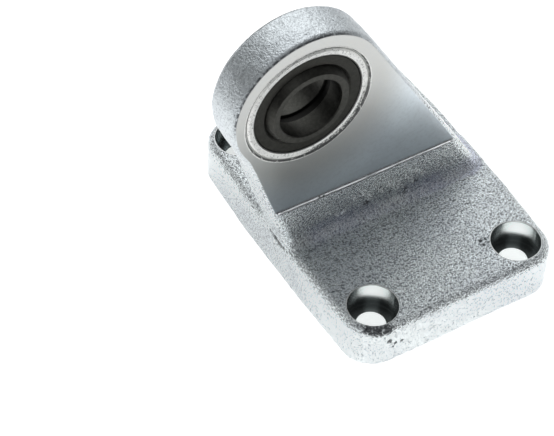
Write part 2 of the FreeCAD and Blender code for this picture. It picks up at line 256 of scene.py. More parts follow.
GROOVE_LINE_FADE = (STAKE_GROOVE_RADIUS - 0.50, STAKE_GROOVE_RADIUS - 0.35)
GROOVE_BREAK_FADE = (0.70, 0.52)
CRESCENT_TOWARDS = (0.67, -0.74)
CRESCENT_INNER_FADE = (GROOVE_INNER_RADIUS, GROOVE_INNER_RADIUS + 0.15)
CRESCENT_SPAN_FADE = (0.62, 0.88)
CRESCENT_BREAK_FADE = (0.56, 0.48)
RIM_SHADE_TOWARDS = (-0.55, 0.83)
RIM_SHADE_SIDE_FADE = (5.7, 6.2)
RIM_SHADE_OUTER_FADE = (23.0, 23.4)
RIM_SHADE_SPAN_FADE = (8.0, 15.0)
RIM_SHADE_BREAK_FADE = (0.66, 0.50)
GAP_FADE = (RING_SEAT_RADIUS + 0.10, RING_SEAT_RADIUS - 0.05)

# The bearing: painted shade in the bore's groove and on the outer ring's rim.
STEEL_MOTTLE_FADE = (0.35, 0.7)
BORE_GROOVE_INNER_FADE = (BORE_RADIUS + 0.08, BORE_RADIUS + 0.30)
BORE_GROOVE_OUTER_FADE = (BORE_RADIUS + 1.3, BORE_RADIUS + 1.1)
BORE_GROOVE_SIDE_FADE = (BORE_GROOVE_HALF + 0.1, BORE_GROOVE_HALF - 0.05)
RING_RIM_FADE = (RING_SEAT_RADIUS - 0.55, RING_SEAT_RADIUS - 0.40)

# Colours of the plating and the steel. A TINT is a colour and its share where its mask is 1.
ZINC_BRIGHT = rgb(0.93, 0.985, 0.99)
ZINC_DULL = rgb(0.80, 0.85, 0.875)
GRAIN_SHADOW = rgb(0.15, 0.16, 0.175)
# Painted light on the machined faces: a darker reflection by the eye, a highlight at the ledge, a sheen
# on the staked lip.
MILLED_SHADE_BY_EYE = rgb(0.575, 0.58, 0.56)
MILLED_FAR = rgb(0.86, 0.935, 0.985)
LEDGE_HIGHLIGHT = rgb(0.97, 0.98, 1.0)
STAKED_SHEEN = rgb(0.97, 0.97, 0.94)
HOLE_WALL = rgb(0.84, 0.87, 0.865)
BARREL_TINT = (rgb(0.76, 0.81, 0.85), 0.5)
# The valley's tint is painted shade with a blue reflection.
VALLEY_SHADE_TINT = (rgb(0.60, 0.63, 0.82), 0.45)
PORE_TINT = (rgb(0.10, 0.11, 0.12), 0.8)
WORN_TINT = (rgb(0.60, 0.64, 0.67), 0.12)
MOTTLE_TINT = (rgb(0.50, 0.53, 0.55), 0.16)
SCORE_TINT = (rgb(0.22, 0.225, 0.22), 0.6)
# Painted shade from here to the steel's tint, but a painted highlight on raised marks.
HOLE_DEPTH_SHADE_TINT = (rgb(0.08, 0.095, 0.095), 0.82)
UNDER_LEDGE_SHADOW_TINT = (rgb(0.12, 0.125, 0.14), 0.55)
RAISED_HIGHLIGHT_TINT = (rgb(1.0, 1.0, 0.97), 0.7)
PAINTED_DARK_TINT = (rgb(0.07, 0.075, 0.08), 0.94)
GROOVE_SHADE_TINT = (rgb(0.05, 0.053, 0.055), 0.9)
RIM_SHADE_TINT = (rgb(0.07, 0.075, 0.085), 0.85)
GAP_SHADE_TINT = (rgb(0.03, 0.03, 0.03), 0.9)
STEEL_SHADE_TINT = (rgb(0.006, 0.006, 0.006), 0.85)
OUTER_RING_COLOUR = (0.038, 0.038, 0.034)
INNER_RING_COLOUR = (0.052, 0.052, 0.047)
STEEL_LIGHTER = 1.6

# Roughness, where it varies: the noise's low and high value, and the roughness at each.
CAST_ROUGHNESS = (0.3, 0.7, 0.19, 0.27)
MILLED_ROUGHNESS = (0.3, 0.7, 0.28, 0.305)
BARREL_ROUGHNESS_GAIN = 0.15
STAKED_ROUGHNESS = 0.42
HOLE_ROUGHNESS = 0.22
STEEL_ROUGHNESS_LIMITS = (0.3, 0.7)
STEEL_ROUGHNESS_SPREAD = 0.16
OUTER_RING_POLISH = 0.40
INNER_RING_POLISH = 0.34

# The floor, and how brightly the camera and mirroring metal see it: less far away, and less beside
# the block. Distances in millimetres, but its half width and drop in metres.
FLOOR_GREYS = (rgb(0.80, 0.80, 0.80), rgb(0.83, 0.83, 0.83))
FLOOR_LIFT = 0.90
FLOOR_FALL_OFF = (90.0, 320.0, 1.0, 0.15)
FLOOR_DIP_CENTRE = (-48.0, 15.0, 0.0)
FLOOR_DIP = (10.0, 62.0, 0.56, 1.0)
FLOOR_HALF_WIDTH = 2.0
FLOOR_DROP = 0.0001

# The sky: its even level, and glows by direction, first and last cosine, and strength.
SKY_COLOUR = rgb(0.97, 0.985, 1.0)
SKY_LEVEL = 0.14
SKY_GLOWS = [
    ((0.16, 0.60, 0.78), 0.66, 0.93, 0.80),
    ((0.80, 0.52, 0.30), 0.70, 0.95, 0.35),
    ((-0.36, -0.557, 0.749), 0.90, 0.98, 0.55),
]

# The lamp, in metres and watts.
KEY_LAMP_PLACE = (0.27, 0.54, 0.67)
KEY_LAMP_AIM = (0.0, 0.0, 0.03)
KEY_LAMP_SIZE = 0.7
KEY_LAMP_POWER = 0.5

# The camera, as fitted to the photograph: a long lens a little over half a metre from the block.
CAMERA_CENTRE = (-0.26798, -0.36158, 0.50723)
CAMERA_AZIMUTH = -32.85
CAMERA_ELEVATION = 48.52
CAMERA_ROLL = 2.70
CAMERA_LENS = 144.3
CAMERA_CLIP = (0.01, 20.0)
SENSOR_WIDTH = 36.0


class Nodes:
    """A node tree, with short calls for the nodes that this scene uses."""

    def __init__(self, tree, output):
        self.tree = tree
        self.tree.nodes.clear()
        self.output = self.node(output)

    def node(self, kind, **settings):
        made = self.tree.nodes.new(kind)
        for key, value in settings.items():
            setattr(made, key, value)
        return made

    def feed(self, socket, value):
        if isinstance(value, bpy.types.NodeSocket):
            self.tree.links.new(value, socket)
        elif value is not None:
            socket.default_value = value

    def math(self, operation, *values):
        made = self.node("ShaderNodeMath", operation=operation)
        for socket, value in zip(made.inputs, values):
            self.feed(socket, value)
        return made.outputs[0]

    def vector(self, operation, *values, out="Vector"):
        made = self.node("ShaderNodeVectorMath", operation=operation)
        for socket, value in zip(made.inputs, values):
            self.feed(socket, value)
        return made.outputs[out]

    def product(self, first, *others):
        for other in others:
            first = self.math("MULTIPLY", first, other)
        return first

    def largest(self, first, *others):
        for other in others:
            first = self.math("MAXIMUM", first, other)
        return first

    def fade(self, value, limits):
        """0 at the first limit and beyond it, 1 at the second, and smooth between them."""
        zero_at, one_at = limits
        made = self.node("ShaderNodeMapRange", interpolation_type="SMOOTHSTEP")
        self.feed(made.inputs["Value"], value)
        made.inputs["From Min"].default_value = min(limits)
        made.inputs["From Max"].default_value = max(limits)
        made.inputs["To Min"].default_value = float(zero_at > one_at)
        made.inputs["To Max"].default_value = float(zero_at < one_at)
        return made.outputs[0]

    def range(self, value, low, high, out_low, out_high):
        made = self.node("ShaderNodeMapRange", clamp=True)
        for socket, number in zip(made.inputs, (value, low, high, out_low, out_high)):
            self.feed(socket, number)
        return made.outputs[0]

    def axes(self, place):
        made = self.node("ShaderNodeSeparateXYZ")
        self.feed(made.inputs[0], place)
        return made.outputs

    def distance_to(self, place, point, keep):
        """Distance from a point, counted only along the axes that keep has as 1."""
        flat = self.vector("MULTIPLY", place, keep)
        return self.vector("DISTANCE", flat, [p * k for p, k in zip(point, keep)], out="Value")

    def noise(self, place, scale, detail, roughness):
        """Noise from 0 to 1; scale is the number of lumps per millimetre."""
        made = self.node("ShaderNodeTexNoise")
        self.feed(made.inputs["Vector"], place)
        made.inputs["Scale"].default_value = scale
        made.inputs["Detail"].default_value = detail
        made.inputs["Roughness"].default_value = roughness
        return made.outputs["Fac"]

    def cells(self, place, scale):
        made = self.node("ShaderNodeTexVoronoi")
        self.feed(made.inputs["Vector"], place)
        made.inputs["Scale"].default_value = scale
        return made.outputs["Distance"]

    def mix(self, share, a, b):
        """Colour a where the share is 0, and b where it is 1."""
        made = self.node("ShaderNodeMix", data_type="RGBA")
        self.feed(made.inputs["Factor"], share)
        self.feed(made.inputs["A"], a)
        self.feed(made.inputs["B"], b)
        return made.outputs["Result"]

    def tint(self, colour, mask, tint):
        tone, share = tint
        return self.mix(self.math("MULTIPLY", mask, share), colour, tone)

    def blend(self, share, a, b):
        """Number a where the share is 0, and b where it is 1."""
        made = self.node("ShaderNodeMix", data_type="FLOAT")
        for socket, value in zip(made.inputs[0:1] + made.inputs[2:4], (share, a, b)):
            self.feed(socket, value)
        return made.outputs[0]


class Shader(Nodes):
    """A material's node tree. Its place is the point in the part's own frame, in millimetres."""

    ACROSS_EYE = (1.0, 0.0, 1.0)
    LEVEL = (1.0, 1.0, 0.0)

    def __init__(self, name):
        self.material = bpy.data.materials.new(name)
        self.material.use_nodes = True
        super().__init__(self.material.node_tree, "ShaderNodeOutputMaterial")
        in_metres = self.node("ShaderNodeTexCoord").outputs["Object"]
        self.place = self.vector("MULTIPLY", in_metres, (1 / MM, 1 / MM, 1 / MM))

    def find_block(self):
        """Where the point is on the block: on each axis, from its middle and from its eye's axis."""
        self.x, self.y, self.z = self.axes(self.place)
        self.off_middle = self.math("ABSOLUTE", self.y)
        eye = (EYE_AXIS[0], 0.0, EYE_AXIS[1])
        self.from_axis = self.distance_to(self.place, eye, self.ACROSS_EYE)

    def towards(self, direction):
        """How far the point lies from the eye's axis in a direction across it."""
        across = self.math("SUBTRACT", self.x, EYE_AXIS[0])
        up = self.math("SUBTRACT", self.z, EYE_AXIS[1])
        return self.math("MULTIPLY_ADD", up, direction[1], self.math("MULTIPLY", across, direction[0]))

    def soft_edges(self, radius):
        """A normal that rounds every sharp edge by a radius in millimetres."""
        made = self.node("ShaderNodeBevel", samples=BEVEL_SAMPLES)
        made.inputs["Radius"].default_value = radius * MM
        return made.outputs[0]

    def bump(self, height, normal=None):
        """A bump whose height is given in millimetres."""
        made = self.node("ShaderNodeBump")
        made.inputs["Distance"].default_value = MM
        made.inputs["Strength"].default_value = 1.0
        self.feed(made.inputs["Height"], height)
        self.feed(made.inputs["Normal"], normal)
        return made.outputs[0]

    def metal(self, colour, roughness, normal):
        made = self.node("ShaderNodeBsdfPrincipled")
        made.inputs["Metallic"].default_value = 1.0
        self.feed(made.inputs["Base Color"], colour)
        self.feed(made.inputs["Roughness"], roughness)
        self.feed(made.inputs["Normal"], normal)
        self.feed(self.output.inputs["Surface"], made.outputs[0])
        return self.material


class ZincCasting(Shader):
    """Bright zinc plating: grained where the metal is as cast, smooth where it is machined."""

    def __init__(self):
        super().__init__("zinc_plated_casting")
        self.find_block()
        self.find_machined()
        self.barrel = self.fade(self.z, BARREL_FADE)
        self.grain = self.noise(self.place, *GRAIN_NOISE)
        self.patches = self.noise(self.place, *PATCH_NOISE)
        self.pores = self.product(self.fade(self.cells(self.place, PORE_CELLS), PORE_FADE),
                                  self.fade(self.noise(self.place, *PORE_FIELD_NOISE), PORE_FIELD_FADE))
        self.cut = self.noise(self.vector("MULTIPLY", self.place, CUT_STRETCH), *CUT_NOISE)
        self.scratch = self.noise(self.place, *SCRATCH_NOISE)
        self.ridge = self.noise(self.place, *RIDGE_NOISE)
        # The mesh's painted shade of pits, patches and shadows under lumps, and painted highlight on
        # lumps.
        self.painted_shade_and_highlight = self.node("ShaderNodeAttribute", attribute_name="painted_shade_and_highlight").outputs["Fac"]
        self.raised = self.fade(self.painted_shade_and_highlight, RAISED_FADE)

    def find_machined(self):
        """Masks for all that is machined, and for the staked lip and the screw holes in it."""
        milled = self.product(self.fade(self.off_middle, WEB_OUTER_FADE),
                              self.fade(self.z, ABOVE_LEDGE_FADE),
                              self.fade(self.off_middle, WEB_INNER_FADE))
        strip = self.product(self.fade(self.z, STRIP_LOW_FADE),
                             self.fade(self.z, STRIP_HIGH_FADE),
                             self.fade(self.off_middle, STRIP_OUTER_FADE))
        seat = self.fade(self.from_axis, SEAT_FADE)
        near_holes = []
        for hole_x, hole_y in HOLE_CENTRES:
            away = self.distance_to(self.place, (hole_x, hole_y, 0.0), self.LEVEL)
            near_holes.append(self.fade(away, HOLE_FADE))
        self.holes = self.product(self.largest(*near_holes), self.fade(self.z, HOLE_TOP_FADE))
        self.staked = self.product(seat, self.fade(self.off_middle, STAKED_FADE))
        base = self.fade(self.z, BASE_FADE)
        self.machined = self.largest(milled, strip, seat, self.holes, base)

    def relief(self):
        """The bumps of the skin and of the cuts, on edges that are slightly broken."""
        height = self.product(self.grain, self.blend(self.barrel, GRAIN_BUMP, BARREL_GRAIN_BUMP))
        foot = self.product(self.fade(self.off_middle, FOOT_SIDE_FADE),
                            self.fade(self.z, FOOT_LOW_FADE),
                            self.fade(self.z, FOOT_HIGH_FADE))
        height = self.product(height,
                              self.math("MULTIPLY_ADD", foot, FOOT_GRAIN_GAIN, 1.0),
                              self.math("MULTIPLY_ADD", self.raised, RAISED_GRAIN_GAIN, 1.0))
        fine = self.noise(self.place, *FINE_NOISE)
        lumps = self.noise(self.place, *LUMP_NOISE)
        height = self.math("MULTIPLY_ADD", fine, FINE_BUMP, height)
        height = self.math("MULTIPLY_ADD", lumps, LUMP_BUMP, height)
        height = self.math("MULTIPLY_ADD", self.pores, PORE_BUMP, height)
        height = self.blend(self.machined, height, self.math("MULTIPLY", self.cut, CUT_BUMP))
        scored = self.product(self.staked, self.scratch)
        height = self.math("MULTIPLY_ADD", scored, SCRATCH_BUMP, height)
        levelled = self.math("MULTIPLY", self.staked, STAKED_LEVELLING)
        outwards = self.node("ShaderNodeCombineXYZ")
        self.feed(outwards.inputs["Y"], self.product(self.math("SIGN", self.y), levelled))
        edges = self.vector("ADD", self.soft_edges(EDGE_BREAK), outwards.outputs[0])
        return self.bump(height, self.vector("NORMALIZE", edges))

    def cast_colour(self):
        colour = self.mix(self.fade(self.patches, PATCH_FADE), ZINC_BRIGHT, ZINC_DULL)
        colour = self.tint(colour, self.barrel, BARREL_TINT)
        speckle = self.product(self.fade(self.grain, SPECKLE_FADE),
                               self.blend(self.barrel, SPECKLE_SHARE, BARREL_SPECKLE_SHARE),
                               self.range(self.z, *PLATE_SIDE_SPECKLE))
        colour = self.mix(speckle, colour, GRAIN_SHADOW)
        # Painted shade with a blue reflection in the valley at the web's foot.
        valley = self.product(self.fade(self.z, VALLEY_HIGH_FADE),
                              self.fade(self.off_middle, VALLEY_SIDE_FADE),
                              self.fade(self.z, VALLEY_LOW_FADE),
                              self.fade(self.x, VALLEY_LEFT_FADE),
                              self.fade(self.patches, VALLEY_PATCH_FADE))
        colour = self.tint(colour, valley, VALLEY_SHADE_TINT)
        return self.tint(colour, self.pores, PORE_TINT)

    def machined_colour(self):
        # A painted reflection makes the face greyer by the eye, then a painted highlight at the ledge
        # and a painted sheen on the staked lip.
        colour = self.mix(self.fade(self.from_axis, FROM_EYE_FADE), MILLED_SHADE_BY_EYE, MILLED_FAR)
        colour = self.mix(self.fade(self.z, LEDGE_HIGHLIGHT_FADE), colour, LEDGE_HIGHLIGHT)
        colour = self.mix(self.staked, colour, STAKED_SHEEN)
        worn = self.fade(self.noise(self.place, *WORN_NOISE), WORN_FADE)
        mottle = self.fade(self.noise(self.place, *MOTTLE_NOISE), MOTTLE_FADE)
        scored = self.product(self.staked, self.fade(self.scratch, SCORE_FADE))
        colour = self.tint(colour, worn, WORN_TINT)
        colour = self.tint(colour, mottle, MOTTLE_TINT)
        colour = self.tint(colour, scored, SCORE_TINT)
        return self.mix(self.holes, colour, HOLE_WALL)

    # Painted shade deep in the screw holes.
    def hole_depth_shade(self):
        return self.product(self.holes,
                            self.fade(self.z, HOLE_DEEP_FADE),
                            self.fade(self.z, HOLE_FLOOR_FADE))

    # A painted shadow under the ledge.
    def under_ledge_shadow(self):
        return self.product(self.fade(self.z, UNDER_LOW_FADE),
                            self.fade(self.z, UNDER_HIGH_FADE),
                            self.fade(self.off_middle, UNDER_OUTER_FADE))

    def painted_dark_marks(self):
        """Painted shade in pits, dark patches and under lumps, broken up by noise except in each core.
        """
        broken = self.fade(self.noise(self.place, *BROKEN_NOISE), BROKEN_FADE)
        broken = self.largest(broken, self.fade(self.painted_shade_and_highlight, PIT_CORE_FADE))
        return self.product(self.fade(self.painted_shade_and_highlight, PAINTED_DARK_FADE), broken)

    def groove_shade(self):
        """Painted shade: a thin broken line round the groove's outer edge, and a wide crescent at its
        lower right.
        """
        outer = self.fade(self.from_axis, GROOVE_OUTER_FADE)
        line = self.product(self.fade(self.from_axis, GROOVE_LINE_FADE), outer,
                            self.fade(self.ridge, GROOVE_BREAK_FADE),
                            self.fade(self.off_middle, GROOVE_SUNK_FADE))
        along = self.math("DIVIDE", self.towards(CRESCENT_TOWARDS), self.from_axis)
        crescent = self.product(self.fade(self.from_axis, CRESCENT_INNER_FADE), outer,
                                self.fade(along, CRESCENT_SPAN_FADE),
                                self.fade(self.scratch, CRESCENT_BREAK_FADE))
        return self.largest(line, crescent)

    def rim_shade(self):
        """A broken line of painted shade along the upper left of the eye's rim."""
        return self.product(self.fade(self.off_middle, RIM_SHADE_SIDE_FADE),
                            self.fade(self.from_axis, RIM_SHADE_OUTER_FADE),
                            self.fade(self.towards(RIM_SHADE_TOWARDS), RIM_SHADE_SPAN_FADE),
                            self.math("SUBTRACT", 1.0, self.machined),
                            self.fade(self.ridge, RIM_SHADE_BREAK_FADE))

    def colour(self):
        colour = self.mix(self.machined, self.cast_colour(), self.machined_colour())
        # Painted shade in holes, under the ledge, in pits, groove, rim and gap; a painted highlight on
        # lumps.
        colour = self.tint(colour, self.hole_depth_shade(), HOLE_DEPTH_SHADE_TINT)
        colour = self.tint(colour, self.under_ledge_shadow(), UNDER_LEDGE_SHADOW_TINT)
        colour = self.tint(colour, self.raised, RAISED_HIGHLIGHT_TINT)
        colour = self.tint(colour, self.painted_dark_marks(), PAINTED_DARK_TINT)
        colour = self.tint(colour, self.groove_shade(), GROOVE_SHADE_TINT)
        colour = self.tint(colour, self.rim_shade(), RIM_SHADE_TINT)
        return self.tint(colour, self.fade(self.from_axis, GAP_FADE), GAP_SHADE_TINT)

    def roughness(self):
        cast = self.range(self.noise(self.place, *CAST_ROUGHNESS_NOISE), *CAST_ROUGHNESS)
        cast = self.math("MULTIPLY_ADD", self.barrel, BARREL_ROUGHNESS_GAIN, cast)
        smooth = self.range(self.cut, *MILLED_ROUGHNESS)
        smooth = self.blend(self.staked, smooth, STAKED_ROUGHNESS)
        smooth = self.blend(self.holes, smooth, HOLE_ROUGHNESS)
        return self.blend(self.machined, cast, smooth)

    def finished(self):
        return self.metal(self.colour(), self.roughness(), self.relief())


def dark_steel(name, base, polish):
    """Dark phosphated bearing steel with turning marks about the bearing's axis."""
    shader = Shader(name)
    shader.find_block()
    mottle = shader.noise(shader.place, *STEEL_MOTTLE_NOISE)
    turns = shader.math("MULTIPLY", shader.from_axis, 2 * math.pi / TURNING_PITCH)
    height = shader.math("MULTIPLY", shader.math("SINE", turns), TURNING_BUMP)
    crystals = shader.noise(shader.place, *CRYSTAL_NOISE)
    height = shader.math("MULTIPLY_ADD", crystals, CRYSTAL_BUMP, height)
    lighter = rgb(*[min(1.0, part * STEEL_LIGHTER) for part in base])
    colour = shader.mix(shader.fade(mottle, STEEL_MOTTLE_FADE), rgb(*base), lighter)
    # Painted shade in the bore's groove and on the outer ring's rim against the housing.
    groove = shader.product(shader.fade(shader.from_axis, BORE_GROOVE_INNER_FADE),
                            shader.fade(shader.from_axis, BORE_GROOVE_OUTER_FADE),
                            shader.fade(shader.off_middle, BORE_GROOVE_SIDE_FADE))
    rim = shader.fade(shader.from_axis, RING_RIM_FADE)
    colour = shader.tint(colour, shader.largest(groove, rim), STEEL_SHADE_TINT)
    roughness = shader.range(mottle, *STEEL_ROUGHNESS_LIMITS, polish, polish + STEEL_ROUGHNESS_SPREAD)
    return shader.metal(colour, roughness, shader.bump(height))


def unit(vectors):
    """The vectors, each with length 1."""
    lengths = numpy.linalg.norm(vectors, axis=-1, keepdims=True)
    return vectors / numpy.maximum(lengths, LEAST_LENGTH)


def is_machined_face(face):
    """Whether a face of the CAD mesh is on the base, a milled face or ledge, the bore or a hole."""
    x, y, z = face.calc_center_median() / MM
    off_middle = abs(y)
    if z < AT_FACE:
        return True
    on_web = abs(off_middle - WEB_FACE) < NEAR_FACE and abs(face.normal.y) > FACING
    if z > LEDGE_HEIGHT - AT_FACE and on_web:
        return True
    if abs(z - LEDGE_HEIGHT) < AT_FACE and face.normal.z > FACING:
        return True
    from_axis = math.hypot(x - EYE_AXIS[0], z - EYE_AXIS[1])
    if from_axis < STAKE_GROOVE_RADIUS + NEAR_FACE and off_middle < WEB_FACE + NEAR_FACE:
        return True
    if z > PLATE_TOP + NEAR_FACE:
        return False
    return any(math.hypot(x - hole_x, y - hole_y) < HEAD_RECESS_RADIUS + HOLE_RIM
               for hole_x, hole_y in HOLE_CENTRES)


def cut_across(work, machined_face, machined_edge, place, direction, snap):
    """Cut the cast skin along a plane through a place."""
    skin = [face for face in work.faces if not face[machined_face]]
    edges = [edge for edge in work.edges if not edge[machined_edge]]
    bmesh.ops.bisect_plane(work, geom=skin + edges + work.verts[:], dist=snap * MM,
                           plane_co=place, plane_no=direction)


def refine_around(work, machined_edge, centre, reach):
    """Divide the skin's edges near a place that gets a small mark, where they are still coarse."""
    near = [edge for edge in work.edges
            if not edge[machined_edge] and edge.calc_length() > FINE_EDGE * MM
            and ((edge.verts[0].co + edge.verts[1].co) / 2 - centre * MM).length < reach * MM]
    bmesh.ops.subdivide_edges(work, edges=near, cuts=FINE_CUTS, use_grid_fill=True)


def cut_skin(source):
    """The bracket's mesh with its cast skin cut into small cells.

    Gives the points in millimetres, each triangle's three points and their smooth normals, and
    which triangles are machined.
    """
    mesh = source.data.copy()
    normals = numpy.empty(len(mesh.loops) * 3, dtype=numpy.float32)
    source.data.corner_normals.foreach_get("vector", normals)
    layer = mesh.attributes.new("smooth_normal", "FLOAT_VECTOR", "CORNER")
    layer.data.foreach_set("vector", normals)
    work = bmesh.new()
    work.from_mesh(mesh)
    bmesh.ops.remove_doubles(work, verts=work.verts, dist=WELD_DISTANCE * MM)
    machined_face = work.faces.layers.int.new("machined")
    machined_edge = work.edges.layers.int.new("machined")
    for face in work.faces:
        face[machined_face] = int(is_machined_face(face))
    for edge in work.edges:
        edge[machined_edge] = int(all(face[machined_face] for face in edge.link_faces))
    inner = [edge for edge in work.edges if not any(face[machined_face] for face in edge.link_faces)]
    ends = list({vert for edge in inner for vert in edge.verts})
    bmesh.ops.dissolve_limit(work, angle_limit=math.radians(FLAT_ANGLE_DEG), verts=ends, edges=inner)
    lowest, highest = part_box("bracket")
    for axis in range(3):
        steps = int((highest[axis] - lowest[axis]) / MM / CAST_CELL)
        direction = [0.0, 0.0, 0.0]
        direction[axis] = 1.0
        for step in range(1, steps + 1):
            place = [0.0, 0.0, 0.0]
            place[axis] = lowest[axis] + (step - 0.5) * CAST_CELL * MM
            cut_across(work, machined_face, machined_edge, place, direction, CELL_SNAP)
    below_ledge = (0.0, 0.0, (LEDGE_HEIGHT - LEDGE_LEAN_HEIGHT) * MM)
    cut_across(work, machined_face, machined_edge, below_ledge, (0.0, 0.0, 1.0), LEDGE_SNAP)
    for x, y, z, radius, _ in PITS:
        refine_around(work, machined_edge, Vector((x, y, z)), radius + PIT_MARGIN)
    for x, z, radius, _ in LUMPS:
        refine_around(work, machined_edge, Vector((x, -LUMP_CENTRE_FACE, z)), radius + LUMP_MARGIN)
    bmesh.ops.triangulate(work, faces=work.faces)
    work.verts.index_update()
    saved = work.loops.layers.float_vector["smooth_normal"]
    points = numpy.array([vert.co[:] for vert in work.verts]) / MM
    corners = numpy.array([[loop.vert.index for loop in face.loops] for face in work.faces])
    normals = numpy.array([[loop[saved][:] for loop in face.loops] for face in work.faces])
    machined = numpy.array([face[machined_face] for face in work.faces], dtype=bool)
    work.free()
    bpy.data.meshes.remove(mesh)
    return points, corners, unit(normals), machined


def vertex_normals(points, corners, chosen):
    """Area-weighted normals of the points, from the chosen triangles."""
    a, b, c = [points[corners[:, k]] for k in range(3)]
    across = numpy.cross(b - a, c - a) * chosen[:, None]
    total = numpy.zeros_like(points)
    for side in range(3):
        for axis in range(3):
            total[:, axis] += numpy.bincount(corners[:, side], across[:, axis], len(points))
    return unit(total)


def cast_waves(points):
    """How far the uneven skin lies from its even surface: never above it, in millimetres."""
    height = numpy.zeros(len(points))
    for scale, amount, octaves in CAST_WAVES:
        for index, point in enumerate(points):
            wave = noise.fractal(Vector(point) * scale, WAVE_HARDNESS, WAVE_STEP, octaves)
            height[index] += amount * wave
    return numpy.minimum(height - numpy.percentile(height, FULL_HEIGHT_PERCENTILE), 0.0)


def smooth_fall(distance, radius):
    """1 at no distance, falling smoothly to 0 at the radius."""
    share = numpy.clip(distance / radius, 0.0, 1.0)
    return 1.0 - share * share * (3.0 - 2.0 * share)


def mark_skin(points, height):
    """Add the pits and lumps to the skin's height, and give each point its painted shade and highlight.

    This is up to 1 as painted shade in a pit, a dark patch or under a lump, and down to -1 as a painted
    highlight on a raised lump.
    """
    painted_shade_and_highlight = numpy.zeros(len(points))
    # Each pit is lowered, and painted dark as shade in it.
    for x, y, z, radius, deep in PITS:
        place = x * PIT_PLACE_WEIGHTS[0] + y * PIT_PLACE_WEIGHTS[1]
        reach = radius * PIT_SPREAD * (PIT_LEAST + PIT_VARIATION * (place % 1.0))
        fall = smooth_fall(numpy.linalg.norm(points - (x, y, z), axis=1), reach)
        height -= deep * fall
        painted_shade_and_highlight = numpy.maximum(painted_shade_and_highlight, fall)
    # Dark patches, mostly deepening the painted shade of the pits and under the lumps.
    for x, y, z, radius, strength in DARK_PATCHES:
        fall = smooth_fall(numpy.linalg.norm(points - (x, y, z), axis=1), DARK_PATCH_SPREAD * radius)
        painted_shade_and_highlight = numpy.maximum(painted_shade_and_highlight, strength * fall)
    front = points[:, 1] < -LUMP_FRONT
    for index, (x, z, radius, rise) in enumerate(LUMPS):
        turn = math.radians(LUMP_TURN_DEG * index)
        across, up = points[:, 0] - x, points[:, 2] - z
        along = math.cos(turn) * across + math.sin(turn) * up
        aside = math.cos(turn) * up - math.sin(turn) * across
        bend = LUMP_BEND * along * numpy.sin(along * LUMP_BEND_RATE + index)
        away = numpy.hypot(LUMP_LENGTHWAYS * along, LUMP_CROSSWAYS * aside + bend)
        fall = smooth_fall(away, LUMP_SPREAD * radius) * front
        height += LUMP_RISE * rise * numpy.sqrt(fall)
        # A painted shadow below each lump, and a painted highlight (below zero) on its core.
        below = LUMP_SHADOW_FLATNESS * (up + LUMP_SHADOW_BELOW * radius)
        shadow_below = smooth_fall(numpy.hypot(across, below), radius) * front * (fall < LUMP_SHADOW_OUTSIDE)
        painted_shade_and_highlight = numpy.maximum(painted_shade_and_highlight, LUMP_SHADOW_STRENGTH * shadow_below)
        painted_shade_and_highlight = numpy.where(fall > LUMP_CORE, -fall, painted_shade_and_highlight)
    return painted_shade_and_highlight


def rim_inset(off_middle):
    """How far the drafted, less rounded rim of the eye lies inside the solid's even rounding."""
    draft = math.radians(RIM_DRAFT_DEG)
    turned = numpy.clip(off_middle - (CAST_FACE - EDGE_ROUND), 0.0, EDGE_ROUND)
    even = EDGE_ROUND - numpy.sqrt(numpy.maximum(EDGE_ROUND ** 2 - turned ** 2, 0.0))
    turned = numpy.clip(off_middle - RIM_ROUND_CENTRE, 0.0, RIM_ROUND)
    arc = math.tan(draft) * RIM_ROUND_CENTRE + RIM_ROUND / math.cos(draft)
    arc = arc - numpy.sqrt(RIM_ROUND ** 2 - turned ** 2)
    arc_start = RIM_ROUND_CENTRE - RIM_ROUND * math.sin(draft)
    wanted = numpy.where(off_middle < arc_start, math.tan(draft) * off_middle, arc)
    return numpy.maximum(wanted - even, 0.0)


def hold_machined(points, shift, touches_machined):
    """Keep the skin's points on the milled faces, the base and the rims of the screw holes."""
    off_middle = numpy.abs(points[:, 1])
    shift[touches_machined & (numpy.abs(off_middle - WEB_FACE) < NEAR_FACE), 1] = 0.0
    shift[points[:, 2] < AT_FACE, 2] = 0.0
    for hole_x, hole_y in HOLE_CENTRES:
        away = numpy.hypot(points[:, 0] - hole_x, points[:, 1] - hole_y) - HEAD_RECESS_RADIUS
        fade = numpy.clip((away - HOLE_RIM) / HOLE_SKIN_FADE, 0.0, 1.0)
        near = (away < HOLE_SKIN_REACH) & (points[:, 2] > PLATE_TOP - HOLE_SKIN_DEPTH)
        shift[near] *= fade[near, None]


def lean_ledge(points, shift, skin):
    """Lean the skin just below the ledge inwards, as the real casting's edge does."""
    up = points[:, 2] - LEDGE_HEIGHT
    lip = (numpy.abs(up) < LEDGE_REACH) & (numpy.abs(points[:, 1]) > WEB_FACE + LEDGE_OUTSIDE)
    lip &= numpy.abs(skin[:, 1]) > SKIN_FACING
    lean = numpy.clip((up + LEDGE_LEAN_HEIGHT) / LEDGE_LEAN_HEIGHT, 0.0, 1.0)
    shift[lip, 1] -= numpy.sign(points[lip, 1]) * lean[lip] * LEDGE_LEAN


